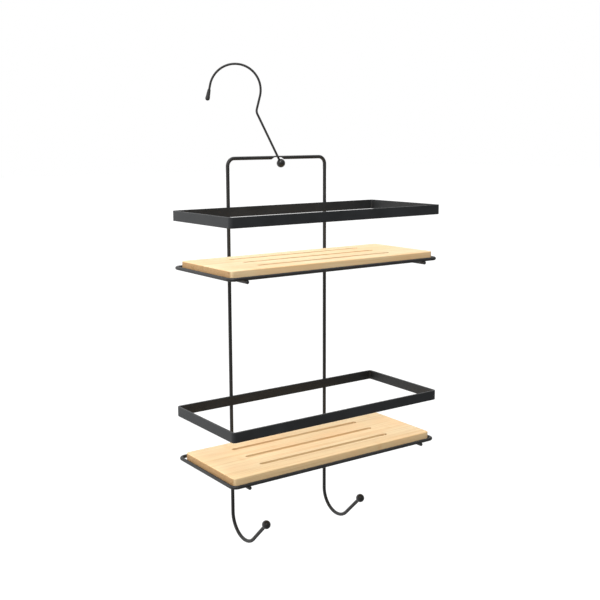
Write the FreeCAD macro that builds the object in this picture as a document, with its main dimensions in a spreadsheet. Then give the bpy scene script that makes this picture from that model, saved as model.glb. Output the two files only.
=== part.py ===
"""Hanging two-shelf shower caddy: welded wire frame, two slatted boards and a swivel hook.

Own frame: +Z up, +X to the caddy's right, +Y towards the wall behind it. The origin is where
the hanging hook bears on whatever it hangs from: the highest point inside its loop.
All parts are first laid out from the eye (the middle of the pierced, flattened stretch of
the top bar), which is the pivot of the hook, and then shifted by EYE.
"""
import FreeCAD, Part
import math
import os

import Sketcher
from FreeCAD import Placement, Rotation, Vector

X_AXIS = Vector(1, 0, 0)
Y_AXIS = Vector(0, 1, 0)
Z_AXIS = Vector(0, 0, 1)
NO_TURN = Rotation()
TINY = 1e-3                       # mm, slack when edges are picked by where they lie

doc = FreeCAD.newDocument("shower_caddy")

# ---------------------------------------------------------------- driving dimensions (mm, degrees)

SIZES = [
    # back frame: one bent wire
    ("frame_wire", 3.8),          # wire diameter
    ("upright_spacing", 126.0),   # between the two uprights' axes
    ("top_bend", 8.0),            # bend radius on the wire's axis, top corners
    ("bar_to_rail", 50.2),        # top bar's axis down to the upper rail's top edge
    ("accessory_drop", 334.8),    # upper rail's top edge down to where the accessory hooks bend
    ("accessory_bend", 24.0),     # bend radius on the wire's axis, accessory hooks
    ("accessory_sweep", 135.0),   # how far round they turn
    ("accessory_rise", 35.6),     # straight run from the bend to the middle of the ball
    ("ball_size", 9.2),           # diameter of the three balls
    ("ball_grip", 1.4),           # wire's end short of the middle of an accessory ball
    # eye: the flattened, pierced middle of the top bar
    ("eye_plate", 1.5),           # thickness
    ("eye_flat", 6.4),            # width of the flattened wire beside the eye
    ("eye_disc", 8.6),            # width of the bulge round the hole
    ("eye_hole", 3.6),
    ("eye_half", 5.2),            # middle of the hole to the end of the flat
    ("eye_taper", 3.0),           # length of the taper back to round wire
    ("eye_edge", 0.45),           # rounding of the eye's edges
    ("eye_sink", 0.27),           # depth of the countersink at each end of the hole
    # rails: flat strip bent to a ring
    ("rail_width", 261.0),
    ("rail_depth", 112.0),
    ("rail_height", 10.2),
    ("rail_strip", 2.4),
    ("rail_corner", 4.0),         # outer corner radius
    ("rail_edge", 0.4),           # rounding of the strip's edges
    ("rail_pitch", 202.6),        # upper rail down to lower rail
    # rims and cross wires under the boards
    ("rim_wire", 3.6),
    ("rim_width", 258.6),         # between the side wires' axes
    ("rim_depth", 107.3),         # between the front and back wires' axes
    ("rim_corner", 6.0),          # bend radius on the wire's axis
    ("rim_drop", 57.6),           # upper rail's top edge down to the upper rim wire's axis
    ("rim_pitch", 200.4),         # upper rim down to lower rim
    ("cross_spacing", 222.6),     # between the two cross wires' axes
    ("cross_proud", 1.3),         # how far a cross wire's ends pass the rim wire's axis
    ("cross_chamfer", 0.4),
    ("weld_sink", 0.25),          # how far welded pieces sink into each other
    # boards
    ("board_width", 254.0),
    ("board_depth", 95.0),
    ("board_thick", 8.8),
    ("board_corner", 4.0),
    ("board_edge", 1.0),          # rounding of the top and bottom edges
    ("board_front_gap", 2.0),     # rim wire's inside to the board's front edge
    ("board_lift_gap", 0.2),      # board's underside above the cross wires
    ("slot_length", 166.0),
    ("slot_width", 5.0),
    ("slot_pitch", 26.4),
    # hanging hook
    ("hook_wire", 2.4),
    ("hook_lean", 25.4),          # how far the shank leans over when nothing carries the caddy
    ("hook_yaw", 33.0),           # how far the hook's plane is turned from the frame's plane
    ("shank", 52.5),              # eye to the corner of the kink
    ("kink_bend", 8.0),
    ("kink_turn", 39.8),
    ("neck", 13.6),               # straight run from the kink to the loop
    ("loop_bend", 27.0),
    ("loop_sweep", 182.6),
    ("tip_run", 12.7),            # straight wire at the tip
    ("cap_grip", 8.0),            # as much of it as is inside the cap
    ("cap_length", 12.0),
    ("cap_top", 3.2),             # diameter at the cap's open end
    ("cap_bulb", 4.9),
    ("ball_below", 7.9),          # eye to the middle of the hook's ball
    ("hook_play", 0.05),          # radial clearance of the hook's wire in its ball
    ("ball_end_gap", 0.3),        # the wire's end short of the bottom of that bore
]

sheet = doc.addObject("Spreadsheet::Sheet", "Sizes")
for row, (alias, number) in enumerate(SIZES, start=1):
    sheet.set("A%d" % row, alias)
    sheet.set("B%d" % row, str(number))
    sheet.setAlias("B%d" % row, alias)
doc.recompute()


def size(alias):
    """The number in the sheet's cell of that name."""
    return float(sheet.get(alias))


def bind(item, **expressions):
    """Bind an object's properties to expressions in the sheet's cells."""
    for name, expression in expressions.items():
        item.setExpression(name, expression)


def evaluated(expression):
    """The number that an expression in the sheet's cells comes to."""
    result = sheet.evalExpression(expression.replace("Sizes.", ""))
    return float(getattr(result, "Value", result))


# ---------------------------------------------------------------- shared helpers


def rod(name, start, direction, length, diameter):
    """Round bar from start along direction; length and diameter are expressions."""
    bar = doc.addObject("Part::Cylinder", name)
    bind(bar, Radius="%s / 2" % diameter, Height=length)
    bar.Placement = Placement(start, Rotation(Z_AXIS, direction))
    return bar


def bend(name, start, direction, side, radius, sweep, diameter):
    """Bent bar that leaves start along direction and curls towards side."""
    arc = doc.addObject("Part::Torus", name)
    bind(arc, Radius1=radius, Radius2="%s / 2" % diameter, Angle3=sweep)
    centre = start + side * evaluated(radius)
    # the torus starts on its own +X and turns towards its own +Y
    arc.Placement = Placement(centre, Rotation(side * -1, direction, Z_AXIS, "XYZ"))
    return arc


def bent_wire(name, start, direction, steps, diameter):
    """Rods and bends laid end to end.

    A step is ("run", length) or ("turn", radius, sweep, side), its sizes as expressions and
    side the direction that the wire curls to. Returns the pieces, the end and its direction.
    """
    pieces = []
    here, heading = start, direction
    for index, step in enumerate(steps):
        label = "%s_%s%d" % (name, step[0], index)
        if step[0] == "run":
            pieces.append(rod(label, here, heading, step[1], diameter))
            here = here + heading * evaluated(step[1])
        else:
            radius, sweep, side = step[1:]
            pieces.append(bend(label, here, heading, side, radius, sweep, diameter))
            angle = math.radians(evaluated(sweep))
            reach = evaluated(radius)
            centre = here + side * reach
            here = centre - side * (reach * math.cos(angle)) + heading * (reach * math.sin(angle))
            heading = heading * math.cos(angle) + side * math.sin(angle)
    return pieces, here, heading


def fused(label, pieces, placement):
    """One solid from pieces that meet, as a node of its own."""
    whole = doc.addObject("Part::MultiFuse", label)
    whole.Label = label
    whole.Shapes = pieces
    whole.Refine = True
    whole.Placement = placement
    return whole


def cut(name, base, tool):
    """Base with tool taken away."""
    result = doc.addObject("Part::Cut", name)
    result.Base = base
    result.Tool = tool
    return result


def new_body(label, placement):
    body = doc.addObject("PartDesign::Body", label)
    body.Label = label
    body.Placement = placement
    return body


def origin_plane(body, role):
    return next(item for item in body.Origin.OriginFeatures if item.Role == role)


def new_sketch(body, name, role):
    sketch = body.newObject("Sketcher::SketchObject", name)
    sketch.AttachmentSupport = [(origin_plane(body, role), "")]
    sketch.MapMode = "FlatFace"
    return sketch


def edges_where(feature, test):
    """Names of a feature's edges that pass a test."""
    return ["Edge%d" % (i + 1) for i, edge in enumerate(feature.Shape.Edges) if test(edge)]


def is_upright(edge):
    """Straight, along Z."""
    return isinstance(edge.Curve, Part.Line) and edge.BoundBox.ZLength > edge.Length - TINY


def level_at(height):
    """Test for edges that lie flat at a height."""

    def test(edge):
        box = edge.BoundBox
        return abs(box.ZMin - height) < TINY and abs(box.ZMax - height) < TINY

    return test


def rounded(body, name, base, edges, radius):
    """Fillet on a body's last feature; radius is an expression."""
    fillet = body.newObject("PartDesign::Fillet", name)
    fillet.Base = (base, edges)
    bind(fillet, Radius=radius)
    body.Tip = fillet
    doc.recompute()
    return fillet


# ---------------------------------------------------------------- where everything lies

# The hook's own frame has its shank on +Z, its loop in the XZ plane and the eye at its origin.
HOOK_TURN = Rotation(Z_AXIS, -size("hook_yaw")) * Rotation(Y_AXIS, -size("hook_lean"))
HOOK_STEPS = [
    ("run", "Sizes.ball_below + Sizes.shank - Sizes.kink_bend * tan(Sizes.kink_turn / 2)"),
    ("turn", "Sizes.kink_bend", "Sizes.kink_turn", "right"),
    ("run", "Sizes.neck"),
    ("turn", "Sizes.loop_bend", "Sizes.loop_sweep", "left"),
    ("run", "Sizes.tip_run"),
]


def loop_centre():
    """Centre of the hook's loop in the hook's own frame."""
    turn = math.radians(size("kink_turn"))
    setback = size("kink_bend") * math.tan(turn / 2)
    kink = Vector(0, 0, size("shank"))
    along_neck = Vector(math.sin(turn), 0, math.cos(turn))
    loop_start = kink + along_neck * (setback + size("neck"))
    return loop_start + Vector(-math.cos(turn), 0, math.sin(turn)) * size("loop_bend")


bearing_above_centre = Vector(0, 0, size("loop_bend") - size("hook_wire") / 2)
EYE = (HOOK_TURN.multVec(loop_centre()) + bearing_above_centre) * -1
AT_EYE = Placement(EYE, NO_TURN)
AT_HOOK = Placement(EYE, HOOK_TURN)

frame_radius = size("frame_wire") / 2
rim_radius = size("rim_wire") / 2
bar_level = size("eye_plate") / 2 - frame_radius          # plate and bar are flush on top
rail_top = bar_level - size("bar_to_rail")
rail_back = -frame_radius + size("weld_sink")
rim_level = rail_top - size("rim_drop")
rim_back = -frame_radius - rim_radius + size("weld_sink")
rim_front = rim_back - size("rim_depth")
cross_level = rim_level - size("rim_wire") + size("weld_sink")
board_bottom = cross_level + rim_radius + size("board_lift_gap")
board_front = rim_front + rim_radius + size("board_front_gap")
board_middle = board_front + size("board_depth") / 2

# each shelf's name, and how far its rail and its rim are below the upper ones
SHELVES = [("upper", 0.0, 0.0), ("lower", -size("rail_pitch"), -size("rim_pitch"))]
SIDES = [("left", -1), ("right", 1)]

# ---------------------------------------------------------------- back frame


def eye_pieces():
    """The flattened stretch of the top bar with its bulge, and a taper at each end."""
    plate = doc.addObject("Part::Ellipse", "eye_section")
    bind(plate, MajorRadius="Sizes.eye_flat / 2", MinorRadius="Sizes.eye_plate / 2")
    across = Rotation(Y_AXIS, Z_AXIS, X_AXIS, "XYZ")
    plate.Placement = Placement(Vector(-size("eye_half"), 0, 0), across)
    flat = doc.addObject("Part::Extrusion", "eye_flat")
    flat.Base = plate
    flat.DirMode = "Custom"
    flat.Dir = X_AXIS
    bind(flat, LengthFwd="2 * Sizes.eye_half")
    flat.Solid = True

    blank = doc.addObject("Part::Cylinder", "eye_blank")
    bind(blank, Radius="Sizes.eye_disc / 2", Height="Sizes.eye_plate")
    blank.Placement = Placement(Vector(0, 0, -size("eye_plate") / 2), NO_TURN)
    doc.recompute()
    disc = doc.addObject("Part::Fillet", "eye_bulge")
    disc.Base = blank
    rims = [i + 1 for i, edge in enumerate(blank.Shape.Edges) if isinstance(edge.Curve, Part.Circle)]
    disc.Edges = [(number, size("eye_edge"), size("eye_edge")) for number in rims]

    pieces = [flat, disc]
    for side, sign in SIDES:
        thin = doc.addObject("Part::Ellipse", "taper_thin_" + side)
        bind(thin, MajorRadius="Sizes.eye_flat / 2", MinorRadius="Sizes.eye_plate / 2")
        thin.Placement = Placement(Vector(sign * size("eye_half"), 0, 0), across)
        thick = doc.addObject("Part::Ellipse", "taper_thick_" + side)
        bind(thick, MajorRadius="Sizes.frame_wire / 2", MinorRadius="Sizes.frame_wire / 2")
        reach = size("eye_half") + size("eye_taper")
        thick.Placement = Placement(Vector(sign * reach, 0, bar_level), across)
        taper = doc.addObject("Part::Loft", "taper_" + side)
        taper.Sections = [thin, thick]
        taper.Solid = True
        taper.Ruled = True
        pieces.append(taper)
    return pieces


def frame_half(side, sign):
    """Half of the top bar, an upright and its accessory hook, from the eye outwards."""
    outwards = X_AXIS * sign
    steps = [
        ("run", "Sizes.upright_spacing / 2 - Sizes.top_bend - Sizes.eye_half - Sizes.eye_taper"),
        ("turn", "Sizes.top_bend", "90", Z_AXIS * -1),
        ("run", "Sizes.bar_to_rail + Sizes.accessory_drop - Sizes.top_bend"),
        ("turn", "Sizes.accessory_bend", "Sizes.accessory_sweep", Y_AXIS * -1),
        ("run", "Sizes.accessory_rise - Sizes.ball_grip"),
    ]
    start = Vector(sign * (size("eye_half") + size("eye_taper")), 0, bar_level)
    return bent_wire(side + "_wire", start, outwards, steps, "Sizes.frame_wire")


def build_back_frame():
    """One bent wire with the eye in its top bar; returns each hook's end and direction."""
    pieces = eye_pieces()
    ends = {}
    for side, sign in SIDES:
        half, end, heading = frame_half(side, sign)
        pieces.extend(half)
        ends[side] = (end, heading)
    hole = doc.addObject("Part::Cylinder", "eye_hole")
    bind(hole, Radius="Sizes.eye_hole / 2", Height="2 * Sizes.eye_plate")
    hole.Placement = Placement(Vector(0, 0, -size("eye_plate")), NO_TURN)
    countersinks = []
    for name, up in (("eye_sink_top", 1), ("eye_sink_bottom", -1)):
        sink = doc.addObject("Part::Cone", name)
        bind(sink, Radius1="Sizes.eye_hole / 2", Radius2="Sizes.eye_hole / 2 + 2 * Sizes.eye_edge")
        bind(sink, Height="2 * Sizes.eye_edge")
        base = Vector(0, 0, up * (size("eye_plate") / 2 - size("eye_sink")))
        sink.Placement = Placement(base, Rotation(Z_AXIS, Z_AXIS * up))
        countersinks.append(sink)
    tool = fused("eye_tool", [hole] + countersinks, Placement())
    wire = fused("back_wire", pieces, Placement())
    frame = cut("back_frame", wire, tool)
    frame.Label = "back_frame"
    frame.Placement = AT_EYE
    return ends


def build_accessory_balls(ends):
    """A ball pressed on the end of each accessory hook."""
    for side, (end, heading) in ends.items():
        ball = doc.addObject("Part::Sphere", side + "_ball_blank")
        bind(ball, Radius="Sizes.ball_size / 2")
        middle = end + heading * size("ball_grip")
        bore = doc.addObject("Part::Cylinder", side + "_ball_bore")
        bind(bore, Radius="Sizes.frame_wire / 2", Height="Sizes.ball_size")
        bore.Placement = Placement(heading * -size("ball_grip"), Rotation(Z_AXIS, heading * -1))
        node = cut(side + "_hook_ball", ball, bore)
        node.Label = side + "_hook_ball"
        node.Placement = Placement(EYE + middle, NO_TURN)


# ---------------------------------------------------------------- rails, rims and cross wires


def build_rail(shelf, drop):
    """Closed ring of flat strip on edge, its corners and edges rounded."""
    centre = Vector(0, rail_back - size("rail_depth") / 2, rail_top + drop)
    body = new_body(shelf + "_rail", Placement(EYE + centre, NO_TURN))
    outer = body.newObject("PartDesign::AdditiveBox", shelf + "_rail_outer")
    bind(outer, Length="Sizes.rail_width", Width="Sizes.rail_depth", Height="Sizes.rail_height")
    half_width = size("rail_width") / 2
    half_depth = size("rail_depth") / 2
    outer.Placement.Base = Vector(-half_width, -half_depth, -size("rail_height"))
    doc.recompute()
    corners = edges_where(outer, is_upright)
    rounded(body, shelf + "_rail_corners", outer, corners, "Sizes.rail_corner")
    strip = size("rail_strip")
    inner = body.newObject("PartDesign::SubtractiveBox", shelf + "_rail_inner")
    bind(inner, Length="Sizes.rail_width - 2 * Sizes.rail_strip")
    bind(inner, Width="Sizes.rail_depth - 2 * Sizes.rail_strip", Height="Sizes.rail_height")
    inner.Placement.Base = outer.Placement.Base + Vector(strip, strip, 0)
    doc.recompute()

    def inner_upright(edge):
        inside_width = abs(edge.BoundBox.XMax) < half_width - strip + TINY
        inside_depth = abs(edge.BoundBox.YMax) < half_depth - strip + TINY
        return is_upright(edge) and inside_width and inside_depth

    bends = edges_where(inner, inner_upright)
    turned = rounded(body, shelf + "_rail_bends", inner, bends, "Sizes.rail_corner - Sizes.rail_strip")
    top, bottom = level_at(0.0), level_at(-size("rail_height"))
    level = edges_where(turned, lambda edge: top(edge) or bottom(edge))
    rounded(body, shelf + "_rail_edges", turned, level, "Sizes.rail_edge")


def build_rim(shelf, drop):
    """Closed ring of round wire that a board drops into."""
    side_run = "Sizes.rim_depth - 2 * Sizes.rim_corner"
    long_run = "Sizes.rim_width - 2 * Sizes.rim_corner"
    front, right = (long_run, Y_AXIS), (side_run, X_AXIS * -1)
    back, left = (long_run, Y_AXIS * -1), (side_run, X_AXIS)
    steps = []
    for run, inwards in (front, right, back, left):
        steps.append(("run", run))
        steps.append(("turn", "Sizes.rim_corner", "90", inwards))
    start = Vector(-size("rim_width") / 2 + size("rim_corner"), -size("rim_depth") / 2, 0)
    pieces, _, _ = bent_wire(shelf + "_rim", start, X_AXIS, steps, "Sizes.rim_wire")
    centre = Vector(0, (rim_back + rim_front) / 2, rim_level + drop)
    fused(shelf + "_rim", pieces, Placement(EYE + centre, NO_TURN))


def build_cross_wires(shelf, drop):
    """Two straight wires welded under a rim, front to back, which carry the board."""
    for side, sign in SIDES:
        blank = doc.addObject("Part::Cylinder", "%s_%s_cross_blank" % (shelf, side))
        bind(blank, Radius="Sizes.rim_wire / 2", Height="Sizes.rim_depth + 2 * Sizes.cross_proud")
        doc.recompute()
        node = doc.addObject("Part::Chamfer", "%s_%s_cross_wire" % (shelf, side))
        node.Label = "%s_%s_cross_wire" % (shelf, side)
        node.Base = blank
        ends = [i + 1 for i, edge in enumerate(blank.Shape.Edges) if isinstance(edge.Curve, Part.Circle)]
        node.Edges = [(number, size("cross_chamfer"), size("cross_chamfer")) for number in ends]
        front = rim_front - size("cross_proud")
        place = Vector(sign * size("cross_spacing") / 2, front, cross_level + drop)
        node.Placement = Placement(EYE + place, Rotation(Z_AXIS, Y_AXIS))


# ---------------------------------------------------------------- boards


def slot_outline(sketch, length, width):
    """Slot with round ends along X, centred on the sketch's origin."""
    half_run = (length - width) / 2
    radius = width / 2
    left, right = Vector(-half_run, 0, 0), Vector(half_run, 0, 0)
    up = Vector(0, radius, 0)
    quarter = math.pi / 2
    right_end = Part.ArcOfCircle(Part.Circle(right, Z_AXIS, radius), -quarter, quarter)
    left_end = Part.ArcOfCircle(Part.Circle(left, Z_AXIS, radius), quarter, 3 * quarter)
    right_arc = sketch.addGeometry(right_end)
    left_arc = sketch.addGeometry(left_end)
    top_line = sketch.addGeometry(Part.LineSegment(right + up, left + up))
    bottom_line = sketch.addGeometry(Part.LineSegment(left - up, right - up))
    # how a sketch numbers the points of a piece, and its own origin
    start_point, end_point, centre_point = 1, 2, 3
    sketch_origin = (-1, start_point)
    joins = [
        (right_arc, end_point, top_line, start_point),
        (top_line, end_point, left_arc, start_point),
        (left_arc, end_point, bottom_line, start_point),
        (bottom_line, end_point, right_arc, start_point),
    ]
    for first_item, first_end, second_item, second_end in joins:
        sketch.addConstraint(
            Sketcher.Constraint("Tangent", first_item, first_end, second_item, second_end)
        )
    sketch.addConstraint(Sketcher.Constraint("Horizontal", top_line))
    centres = (right_arc, centre_point, left_arc, centre_point)
    sketch.addConstraint(Sketcher.Constraint("Symmetric", *centres, *sketch_origin))
    radius_constraint = sketch.addConstraint(Sketcher.Constraint("Radius", right_arc, radius))
    run_constraint = sketch.addConstraint(
        Sketcher.Constraint("DistanceX", left_arc, centre_point, right_arc, centre_point, 2 * half_run)
    )
    sketch.setExpression("Constraints[%d]" % radius_constraint, "Sizes.slot_width / 2")
    sketch.setExpression("Constraints[%d]" % run_constraint, "Sizes.slot_length - Sizes.slot_width")


def build_board(shelf, drop):
    """Loose board with rounded edges and three drain slots, origin under its middle."""
    place = EYE + Vector(0, board_middle, board_bottom + drop)
    body = new_body(shelf + "_board", Placement(place, NO_TURN))
    slab = body.newObject("PartDesign::AdditiveBox", shelf + "_board_slab")
    bind(slab, Length="Sizes.board_width", Width="Sizes.board_depth", Height="Sizes.board_thick")
    slab.Placement.Base = Vector(-size("board_width") / 2, -size("board_depth") / 2, 0)
    doc.recompute()
    corners = edges_where(slab, is_upright)
    base = rounded(body, shelf + "_board_corners", slab, corners, "Sizes.board_corner")
    top, bottom = level_at(size("board_thick")), level_at(0.0)
    level = edges_where(base, lambda edge: top(edge) or bottom(edge))
    base = rounded(body, shelf + "_board_edges", base, level, "Sizes.board_edge")

    sketch = new_sketch(body, shelf + "_slot_outline", "XY_Plane")
    slot_outline(sketch, size("slot_length"), size("slot_width"))
    doc.recompute()
    solid_volume = base.Shape.Volume
    slot = body.newObject("PartDesign::Pocket", shelf + "_slot")
    slot.Profile = sketch
    slot.Type = "ThroughAll"
    slot.Midplane = True
    body.Tip = slot
    doc.recompute()
    removed = solid_volume - slot.Shape.Volume

    row = body.newObject("PartDesign::LinearPattern", shelf + "_slot_row")
    row.Originals = [slot]
    row.Direction = (origin_plane(body, "Y_Axis"), [""])
    row.Occurrences = 2
    bind(row, Length="Sizes.slot_pitch")
    body.Tip = row
    doc.recompute()
    other = body.newObject("PartDesign::LinearPattern", shelf + "_slot_row_front")
    other.Originals = [slot]
    other.Direction = (origin_plane(body, "Y_Axis"), [""])
    other.Reversed = True
    other.Occurrences = 2
    bind(other, Length="Sizes.slot_pitch")
    body.Tip = other
    doc.recompute()
    all_removed = solid_volume - other.Shape.Volume
    if abs(all_removed - 3 * removed) > TINY * removed:
        raise SystemExit("%s_board: the three slots did not all cut" % shelf)


# ---------------------------------------------------------------- hanging hook


def build_hanging_hook():
    """The swivel hook: shank through the eye, kink, loop and a short tip; returns its end."""
    start = Vector(0, 0, -size("ball_below"))
    pieces = []
    here, heading = start, Z_AXIS
    for index, step in enumerate(HOOK_STEPS):
        if step[0] == "turn":
            right = heading.cross(Y_AXIS) * -1
            side = right if step[3] == "right" else right * -1
            step = step[:3] + (side,)
        made, here, heading = bent_wire("hook%d" % index, here, heading, [step], "Sizes.hook_wire")
        pieces.extend(made)
    fused("hanging_hook", pieces, AT_HOOK)
    return here, heading


def build_hook_ball():
    """The ball under the eye that keeps the shank from pulling out, bored for the shank."""
    ball = doc.addObject("Part::Sphere", "pivot_ball_blank")
    bind(ball, Radius="Sizes.ball_size / 2")
    bore = doc.addObject("Part::Cylinder", "pivot_ball_bore")
    bind(bore, Radius="Sizes.hook_wire / 2 + Sizes.hook_play", Height="Sizes.ball_size")
    bore.Placement = Placement(Vector(0, 0, -size("ball_end_gap")), NO_TURN)
    node = cut("hook_ball", ball, bore)
    node.Label = "hook_ball"
    middle = HOOK_TURN.multVec(Vector(0, 0, -size("ball_below")))
    node.Placement = Placement(EYE + middle, HOOK_TURN)


def build_tip_cap(end, heading):
    """Teardrop cap pushed over the hook's tip: a cone that runs into a round end."""
    top_radius = size("cap_top") / 2
    bulb_radius = size("cap_bulb") / 2
    bore_radius = size("hook_wire") / 2
    bulb_level = size("cap_length") - bulb_radius
    # the straight side touches the bulb's circle: angle of the touching point above its equator
    slant = math.hypot(top_radius, bulb_level)
    lean = math.acos(bulb_radius / slant) - math.atan2(bulb_level, top_radius)
    touch = Vector(bulb_radius * math.cos(lean), bulb_level + bulb_radius * math.sin(lean), 0)
    centre = Vector(0, bulb_level, 0)

    body = new_body("hook_tip_cap", Placement())
    sketch = new_sketch(body, "cap_outline", "XZ_Plane")
    corners = [
        Vector(0, size("cap_length"), 0),
        Vector(0, size("cap_grip"), 0),
        Vector(bore_radius, size("cap_grip"), 0),
        Vector(bore_radius, 0, 0),
        Vector(top_radius, 0, 0),
        touch,
    ]
    for first, second in zip(corners, corners[1:]):
        sketch.addGeometry(Part.LineSegment(first, second))
    bulb = Part.Circle(centre, Z_AXIS, bulb_radius)
    sketch.addGeometry(Part.ArcOfCircle(bulb, lean, math.pi / 2))
    start_point, end_point = 1, 2
    for line in range(len(corners) - 2):
        sketch.addConstraint(Sketcher.Constraint("Coincident", line, end_point, line + 1, start_point))
    doc.recompute()
    revolve = body.newObject("PartDesign::Revolution", "cap_solid")
    revolve.Profile = sketch
    revolve.ReferenceAxis = (sketch, ["V_Axis"])
    revolve.Angle = 360
    body.Tip = revolve
    start = end - heading * size("cap_grip")
    body.Placement = AT_HOOK * Placement(start, Rotation(Z_AXIS, heading))


# ---------------------------------------------------------------- build, check and write

NODES = ["back_frame", "left_hook_ball", "right_hook_ball", "hanging_hook", "hook_ball", "hook_tip_cap"]

frame_ends = build_back_frame()
build_accessory_balls(frame_ends)
for shelf_name, rail_drop, rim_drop in SHELVES:
    build_rail(shelf_name, rail_drop)
    build_rim(shelf_name, rim_drop)
    build_cross_wires(shelf_name, rim_drop)
    build_board(shelf_name, rim_drop)
    NODES += [shelf_name + "_rail", shelf_name + "_rim", shelf_name + "_board"]
    NODES += ["%s_%s_cross_wire" % (shelf_name, side_name) for side_name, _ in SIDES]
hook_end, hook_heading = build_hanging_hook()
build_hook_ball()
build_tip_cap(hook_end, hook_heading)
doc.recompute()

for item in doc.Objects:
    if {"Invalid", "Error"} & set(item.State):
        raise SystemExit("%s failed: %s" % (item.Label, item.State))

os.makedirs("parts", exist_ok=True)
for node in NODES:
    shape = doc.getObjectsByLabel(node)[0].Shape
    if shape.isNull() or not shape.isValid() or len(shape.Solids) != 1:
        raise SystemExit("%s is not one valid solid" % node)
    shape.exportStep("parts/%s.step" % node)
    print("%-26s %10.1f mm3" % (node, shape.Volume))
print("eye at", EYE)
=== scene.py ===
"""Looks of a hanging two-shelf shower caddy: satin black coated steel and lacquered bamboo boards.
Everything is in metres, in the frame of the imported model."""

import math

import bmesh
import bpy
from mathutils import Matrix, Vector


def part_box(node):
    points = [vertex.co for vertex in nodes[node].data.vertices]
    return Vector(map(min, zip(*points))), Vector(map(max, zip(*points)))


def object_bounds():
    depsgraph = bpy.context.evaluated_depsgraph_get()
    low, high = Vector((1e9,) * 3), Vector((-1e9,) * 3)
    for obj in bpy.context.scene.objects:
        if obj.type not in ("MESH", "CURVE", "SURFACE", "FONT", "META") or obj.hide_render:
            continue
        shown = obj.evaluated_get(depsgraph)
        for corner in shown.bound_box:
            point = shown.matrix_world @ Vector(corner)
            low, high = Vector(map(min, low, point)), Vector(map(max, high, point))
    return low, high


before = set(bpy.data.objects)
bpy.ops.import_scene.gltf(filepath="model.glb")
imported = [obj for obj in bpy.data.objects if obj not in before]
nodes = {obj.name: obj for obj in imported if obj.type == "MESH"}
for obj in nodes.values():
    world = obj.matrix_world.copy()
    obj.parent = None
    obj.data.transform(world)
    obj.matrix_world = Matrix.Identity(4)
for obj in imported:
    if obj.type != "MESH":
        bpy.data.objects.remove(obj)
cad_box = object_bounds()

# ------------------------------------------------------------------ anchors
rail_low, rail_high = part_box("upper_rail")
RAIL_BACK = Vector(((rail_low.x + rail_high.x) / 2, rail_high.y, rail_high.z))
MIDDLE = (cad_box[0] + cad_box[1]) / 2

# the camera's place, from the middle of the upper rail's top back edge, and where it points
CAMERA_OFFSET = Vector((-0.5665, -0.8246, 0.0698))
AZIMUTH = math.radians(-33.895)
DOWN = math.radians(9.264)
ROLL = math.radians(-0.491)


# ------------------------------------------------------------------ node helpers
class Tree:
    """A small writer for one material's nodes."""

    def __init__(self, name):
        self.material = bpy.data.materials.new(name)
        self.material.use_nodes = True
        self.nodes = self.material.node_tree.nodes
        self.links = self.material.node_tree.links
        self.shader = self.nodes["Principled BSDF"]
        coordinates = self.nodes.new("ShaderNodeTexCoord")
        self.place = coordinates.outputs["Object"]

    def give(self, socket, value):
        if isinstance(value, bpy.types.NodeSocket):
            self.links.new(value, socket)
        else:
            socket.default_value = value

    def math(self, operation, first, second=0.0):
        node = self.nodes.new("ShaderNodeMath")
        node.operation = operation
        for socket, value in zip(node.inputs, (first, second)):
            self.give(socket, value)
        return node.outputs[0]

    def scaled(self, factors):
        node = self.nodes.new("ShaderNodeMapping")
        self.give(node.inputs["Vector"], self.place)
        node.inputs["Scale"].default_value = factors
        return node.outputs[0]

    def split(self, vector):
        node = self.nodes.new("ShaderNodeSeparateXYZ")
        self.give(node.inputs[0], vector)
        return node.outputs

    def join(self, x, y, z):
        node = self.nodes.new("ShaderNodeCombineXYZ")
        for socket, value in zip(node.inputs, (x, y, z)):
            self.give(socket, value)
        return node.outputs[0]

    def noise(self, vector, detail=3.0, rough=0.55):
        node = self.nodes.new("ShaderNodeTexNoise")
        self.give(node.inputs["Vector"], vector)
        node.inputs["Scale"].default_value = 1.0
        node.inputs["Detail"].default_value = detail
        node.inputs["Roughness"].default_value = rough
        return node.outputs["Fac"]

    def random(self, value):
        node = self.nodes.new("ShaderNodeTexWhiteNoise")
        node.noise_dimensions = "1D"
        self.give(node.inputs["W"], value)
        return node.outputs["Value"]

    def ramp(self, value, low, high, to_low=0.0, to_high=1.0):
        node = self.nodes.new("ShaderNodeMapRange")
        node.interpolation_type = "SMOOTHSTEP"
        self.give(node.inputs["Value"], value)
        for key, number in (
            ("From Min", low), ("From Max", high), ("To Min", to_low), ("To Max", to_high),
        ):
            node.inputs[key].default_value = number
        return node.outputs[0]

    def blend(self, amount, first, second):
        node = self.nodes.new("ShaderNodeMix")
        node.data_type = "RGBA"
        self.give(node.inputs[0], amount)
        self.give(node.inputs[6], first)
        self.give(node.inputs[7], second)
        return node.outputs[2]

    def layer(self, tone, mask, strength, colour):
        """The tone with a colour laid over it, as strong as the mask times the strength."""
        return self.blend(self.math("MULTIPLY", mask, strength), tone, colour)

    def bump(self, height, distance, strength=1.0, normal=None):
        node = self.nodes.new("ShaderNodeBump")
        node.inputs["Distance"].default_value = distance
        node.inputs["Strength"].default_value = strength
        self.give(node.inputs["Height"], height)
        if normal is not None:
            self.give(node.inputs["Normal"], normal)
        return node.outputs[0]

    def worn_edges(self, reach):
        """0 on flat faces, rising to 1 on sharp edges."""
        bevel = self.nodes.new("ShaderNodeBevel")
        bevel.samples = 4
        bevel.inputs["Radius"].default_value = reach
        surface = self.nodes.new("ShaderNodeNewGeometry")
        dot = self.nodes.new("ShaderNodeVectorMath")
        dot.operation = "DOT_PRODUCT"
        self.give(dot.inputs[0], bevel.outputs[0])
        self.give(dot.inputs[1], surface.outputs["Normal"])
        return self.ramp(dot.outputs["Value"], 0.995, 0.86)

    def finish(self, **sockets):
        for name, value in sockets.items():
            self.give(self.shader.inputs[name.replace("_", " ")], value)
        return self.material


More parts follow.
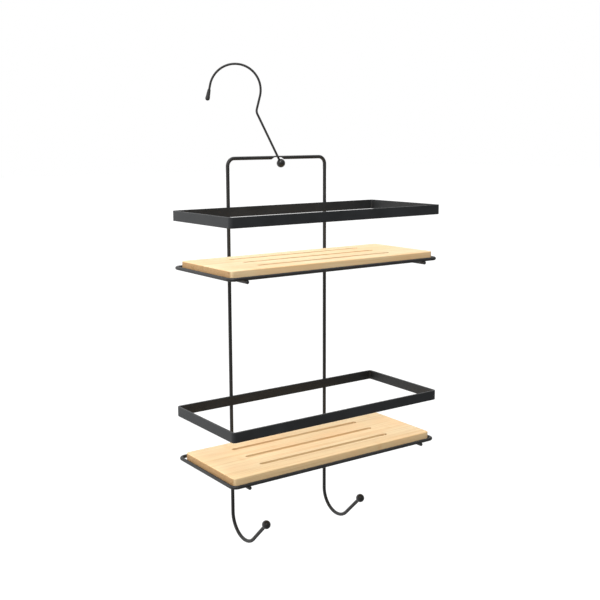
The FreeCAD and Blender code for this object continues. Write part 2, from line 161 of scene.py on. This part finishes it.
def satin_black(name, colour, lift, roughness, grain=900.0, depth=0.00003):
    """Powder coat or soft plastic: a fine orange peel, faint dust, and lighter rubbed edges."""
    t = Tree(name)
    peel = t.noise(t.scaled((grain, grain, grain)), detail=2.5, rough=0.5)
    fine = t.noise(t.scaled((4200.0, 4200.0, 4200.0)), detail=1.5)
    cloud = t.noise(t.scaled((38.0, 38.0, 55.0)), detail=4.0, rough=0.6)
    rubbed = t.math("MULTIPLY", t.worn_edges(0.0007), t.ramp(cloud, 0.35, 0.62))
    rubbed_grey = (0.085, 0.083, 0.08, 1.0)
    tone = t.blend(t.ramp(cloud, 0.3, 0.72), colour, lift)
    tone = t.layer(tone, t.ramp(fine, 0.45, 0.75), 0.35, lift)
    tone = t.layer(tone, rubbed, 0.35, rubbed_grey)
    gloss = t.math("ADD", t.ramp(cloud, 0.25, 0.75, roughness - 0.05, roughness + 0.07),
                   t.math("MULTIPLY", peel, 0.06))
    skin = t.bump(peel, depth, 0.7)
    skin = t.bump(fine, depth * 0.25, 0.5, skin)
    return t.finish(Base_Color=tone, Roughness=gloss, Normal=skin, Specular_IOR_Level=0.4)


def bamboo(name):
    """Edge-glued bamboo: strips along X, long fibres, knuckles, pores and a thin satin lacquer."""
    strip_width = 0.0195
    knuckle_pitch = 0.19
    pale = (0.87, 0.685, 0.42, 1.0)
    warm = (0.80, 0.56, 0.29, 1.0)
    reddish = (0.83, 0.53, 0.27, 1.0)
    amber = (0.72, 0.45, 0.20, 1.0)
    knot = (0.72, 0.44, 0.2, 1.0)
    side_shade_ochre = (0.70, 0.43, 0.17, 1.0)
    tan = (0.55, 0.32, 0.13, 1.0)
    brown = (0.40, 0.22, 0.09, 1.0)
    end_grain = (0.40, 0.22, 0.085, 1.0)
    dark = (0.2, 0.1, 0.035, 1.0)

    t = Tree(name)
    x, y, z = t.split(t.place)
    # each strip of each board has its own tint; the boards lie in different 0.2 m steps of z
    wander = t.noise(t.scaled((9.0, 40.0, 40.0)), detail=2.0)
    across = t.math("ADD", y, t.math("MULTIPLY", t.math("SUBTRACT", wander, 0.5), 0.0012))
    strip = t.math("DIVIDE", across, strip_width)
    board = t.math("ROUND", t.math("MULTIPLY", z, 5.0))
    tint = t.random(t.math("ADD", t.math("FLOOR", strip), t.math("MULTIPLY", board, 17.0)))
    within = t.math("FRACT", strip)
    glue = t.math("MINIMUM", within, t.math("SUBTRACT", 1.0, within))
    glue = t.ramp(glue, 0.0, 0.014, 1.0, 0.0)

    # grain that is drawn out along x
    fibre = t.noise(t.scaled((11.0, 620.0, 620.0)), detail=5.0, rough=0.62)
    band = t.noise(t.scaled((7.0, 270.0, 270.0)), detail=2.0)
    pores = t.noise(t.scaled((70.0, 2300.0, 2300.0)), detail=2.0)
    # the streaks start at another place in each strip
    streak_x, streak_y, streak_z = t.split(t.scaled((5.0, 130.0, 130.0)))
    streak_x = t.math("ADD", streak_x, t.math("MULTIPLY", tint, 40.0))
    streak = t.noise(t.join(streak_x, streak_y, streak_z))
    speckle = t.noise(t.scaled((420.0, 420.0, 900.0)))
    cloud = t.noise(t.scaled((14.0, 26.0, 26.0)))

    # knuckles cross each strip at a place of its own
    along = t.math("ADD", t.math("DIVIDE", x, knuckle_pitch), t.math("MULTIPLY", tint, 7.31))
    along = t.math("ABSOLUTE", t.math("SUBTRACT", t.math("FRACT", along), 0.5))
    knuckle = t.math("MULTIPLY", t.ramp(along, 0.0, 0.03, 1.0, 0.0), t.ramp(streak, 0.35, 0.6))

    tone = t.blend(t.math("MULTIPLY", tint, 0.55), pale, warm)
    tone = t.layer(tone, t.ramp(streak, 0.4, 0.75), 0.5, warm)
    tone = t.layer(tone, t.ramp(band, 0.46, 0.70), 0.55, amber)
    tone = t.layer(tone, t.ramp(fibre, 0.46, 0.76), 0.42, tan)
    tone = t.layer(tone, t.ramp(pores, 0.56, 0.8), 0.34, brown)
    tone = t.layer(tone, t.ramp(cloud, 0.45, 0.66), 0.5, reddish)
    tone = t.layer(tone, knuckle, 0.35, knot)
    tone = t.layer(tone, glue, 0.2, brown)

    # the cut ends are darker and speckled; the long sides, facing along y, get painted shade as a
    # darker ochre tint
    surface = t.nodes.new("ShaderNodeNewGeometry")
    facing_x, facing_y, _ = t.split(surface.outputs["Normal"])
    end = t.ramp(t.math("ABSOLUTE", facing_x), 0.6, 0.95)
    painted_side_shade = t.ramp(t.math("ABSOLUTE", facing_y), 0.6, 0.95)
    tone = t.layer(tone, end, 0.8, end_grain)
    tone = t.layer(tone, t.math("MULTIPLY", end, t.ramp(speckle, 0.5, 0.7)), 0.5, dark)
    # painted shade: faces turned along y are made darker ochre for how light falls on them, not for a
    # colour the bamboo has
    tone = t.layer(tone, painted_side_shade, 0.12, side_shade_ochre)
    tone = t.layer(tone, t.worn_edges(0.0011), 0.16, brown)

    gloss = t.math("ADD", t.ramp(fibre, 0.3, 0.75, 0.50, 0.62), t.math("MULTIPLY", end, 0.14))
    skin = t.bump(fibre, 0.00012, 0.55)
    skin = t.bump(pores, 0.00006, 0.5, skin)
    ridges = t.math("SUBTRACT", t.math("MULTIPLY", knuckle, 0.6), glue)
    skin = t.bump(ridges, 0.00008, 0.6, skin)
    return t.finish(Base_Color=tone, Roughness=gloss, Normal=skin, Specular_IOR_Level=0.3)


wire_coat = satin_black(
    "coated_wire", (0.0120, 0.0118, 0.0118, 1.0), (0.0200, 0.0196, 0.0192, 1.0), 0.48)
strip_coat = satin_black(
    "coated_strip", (0.0085, 0.0096, 0.0108, 1.0), (0.0158, 0.0178, 0.0200, 1.0), 0.50)
ball_coat = satin_black(
    "coated_ball", (0.0110, 0.0108, 0.0108, 1.0), (0.0180, 0.0176, 0.0174, 1.0), 0.30)
cap_plastic = satin_black(
    "cap_plastic", (0.017, 0.0168, 0.0165, 1.0), (0.026, 0.0255, 0.025, 1.0), 0.46,
    grain=1600.0, depth=0.000015)
board_wood = bamboo("board_wood")

looks = {
    "back_frame": wire_coat,
    "hanging_hook": wire_coat,
    "upper_rim": wire_coat,
    "lower_rim": wire_coat,
    "upper_left_cross_wire": wire_coat,
    "upper_right_cross_wire": wire_coat,
    "lower_left_cross_wire": wire_coat,
    "lower_right_cross_wire": wire_coat,
    "upper_rail": strip_coat,
    "lower_rail": strip_coat,
    "left_hook_ball": ball_coat,
    "right_hook_ball": ball_coat,
    "hook_ball": ball_coat,
    "hook_tip_cap": cap_plastic,
    "upper_board": board_wood,
    "lower_board": board_wood,
}
for name, material in looks.items():
    mesh = nodes[name].data
    mesh.materials.clear()
    mesh.materials.append(material)


# ------------------------------------------------------------------ stage, light and camera
def stage_floor(drop=1.2, half_width=40.0):
    """A plain pale floor, well under the hanging part."""
    mesh = bpy.data.meshes.new("floor")
    shape = bmesh.new()
    bmesh.ops.create_grid(shape, x_segments=2, y_segments=2, size=half_width)
    shape.to_mesh(mesh)
    shape.free()
    floor = bpy.data.objects.new("floor", mesh)
    floor.location = (0.0, 0.0, cad_box[0].z - drop)
    bpy.context.scene.collection.objects.link(floor)
    # the floor is seen, but throws no light up at the part
    floor.visible_diffuse = False
    floor.visible_glossy = False
    t = Tree("pale_floor")
    grain = t.noise(t.scaled((3.0, 3.0, 3.0)))
    tone = t.blend(grain, (0.29, 0.29, 0.29, 1.0), (0.31, 0.31, 0.31, 1.0))
    white = (1.0, 1.0, 1.0, 1.0)
    mesh.materials.append(t.finish(
        Base_Color=tone, Roughness=0.8, Emission_Color=white, Emission_Strength=0.78))


def soft_light(name, place, aim, size, power):
    lamp = bpy.data.lights.new(name, "AREA")
    lamp.shape = "RECTANGLE"
    lamp.size, lamp.size_y = size
    lamp.energy = power
    piece = bpy.data.objects.new(name, lamp)
    piece.visible_camera = False
    piece.location = place
    piece.rotation_mode = "QUATERNION"
    piece.rotation_quaternion = (Vector(aim) - Vector(place)).to_track_quat("-Z", "Y")
    bpy.context.scene.collection.objects.link(piece)


def studio_sky():
    """A white room: bright behind the part and to its left, dim in front of it and below."""
    world = bpy.data.worlds.new("studio")
    bpy.context.scene.world = world
    world.use_nodes = True
    tree = world.node_tree
    background = tree.nodes["Background"]
    place = tree.nodes.new("ShaderNodeTexCoord")
    split = tree.nodes.new("ShaderNodeSeparateXYZ")
    seen = tree.nodes.new("ShaderNodeLightPath")
    tree.links.new(place.outputs["Generated"], split.inputs[0])

    def combine(operation, first, second):
        node = tree.nodes.new("ShaderNodeMath")
        node.operation = operation
        for socket, value in zip(node.inputs, (first, second)):
            if isinstance(value, bpy.types.NodeSocket):
                tree.links.new(value, socket)
            else:
                socket.default_value = value
        return node.outputs[0]

    def spread(value, low, high, to_low, to_high):
        node = tree.nodes.new("ShaderNodeMapRange")
        tree.links.new(value, node.inputs["Value"])
        for key, number in (
            ("From Min", low), ("From Max", high), ("To Min", to_low), ("To Max", to_high),
        ):
            node.inputs[key].default_value = number
        return node.outputs[0]

    x, y, z = split.outputs
    behind = combine("ADD", combine("MULTIPLY", y, 0.89), combine("MULTIPLY", x, -0.45))
    glow = combine("MULTIPLY", spread(behind, -0.5, 0.9, 0.42, 1.6), spread(z, -0.3, 0.2, 0.75, 1.0))
    # seen directly it is plain white
    to_white = combine("MULTIPLY", combine("SUBTRACT", 1.0, glow), seen.outputs["Is Camera Ray"])
    tree.links.new(combine("ADD", glow, to_white), background.inputs["Strength"])
    background.inputs["Color"].default_value = (1.0, 1.0, 1.0, 1.0)


stage_floor()
studio_sky()
soft_light("key", MIDDLE + Vector((-0.85, -0.85, 1.45)), MIDDLE, (1.1, 1.1), 25.0)
soft_light("top", MIDDLE + Vector((0.1, 0.3, 2.2)), MIDDLE, (3.2, 3.2), 16.0)

lens = bpy.data.cameras.new("camera")
lens.sensor_width = 36.0
lens.lens = 55.5
lens.shift_x, lens.shift_y = 0.05, -0.0167
lens.clip_start, lens.clip_end = 0.05, 60.0
camera = bpy.data.objects.new("camera", lens)
camera.location = RAIL_BACK + CAMERA_OFFSET
level = Vector((-math.sin(AZIMUTH), math.cos(AZIMUTH), 0.0))
facing = level * math.cos(DOWN) - Vector((0.0, 0.0, math.sin(DOWN)))
camera.rotation_mode = "QUATERNION"
camera.rotation_quaternion = facing.to_track_quat("-Z", "Y")
camera.rotation_quaternion = camera.rotation_quaternion @ Matrix.Rotation(ROLL, 3, "Z").to_quaternion()
bpy.context.scene.collection.objects.link(camera)
bpy.context.scene.camera = camera
bpy.context.scene.view_settings.view_transform = "Standard"
